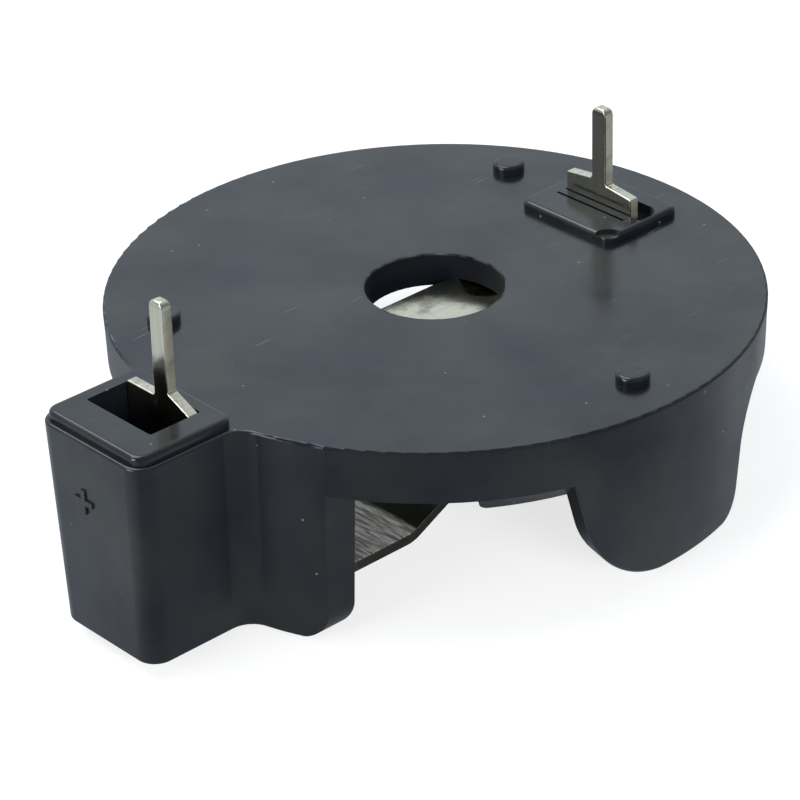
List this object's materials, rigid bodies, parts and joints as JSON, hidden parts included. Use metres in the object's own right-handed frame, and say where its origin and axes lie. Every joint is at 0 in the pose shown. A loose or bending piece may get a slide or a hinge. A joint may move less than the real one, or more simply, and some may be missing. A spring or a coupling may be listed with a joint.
{
  "type": "coin cell holder",
  "caption": "Round board-mounted holder for a coin cell, open at the side, with two pins and sprung contacts.",
  "frame": {"origin": "on the cell's axis, in the plate's face that looks at the board", "axes": "+Z towards the board, along the pins; +X from the block of the positive contact towards the negative pin"},
  "size_m": [0.0269, 0.023, 0.0118],
  "materials": {
    "housing_plastic": "fine satin moulding grain",
    "contact_nickel": "nickel-plated stamped strip"
  },
  "bodies": {
    "root": {"housing": "housing_plastic", "positive_contact": "contact_nickel", "negative_contact": "contact_nickel"}
  },
  "joints": []
}
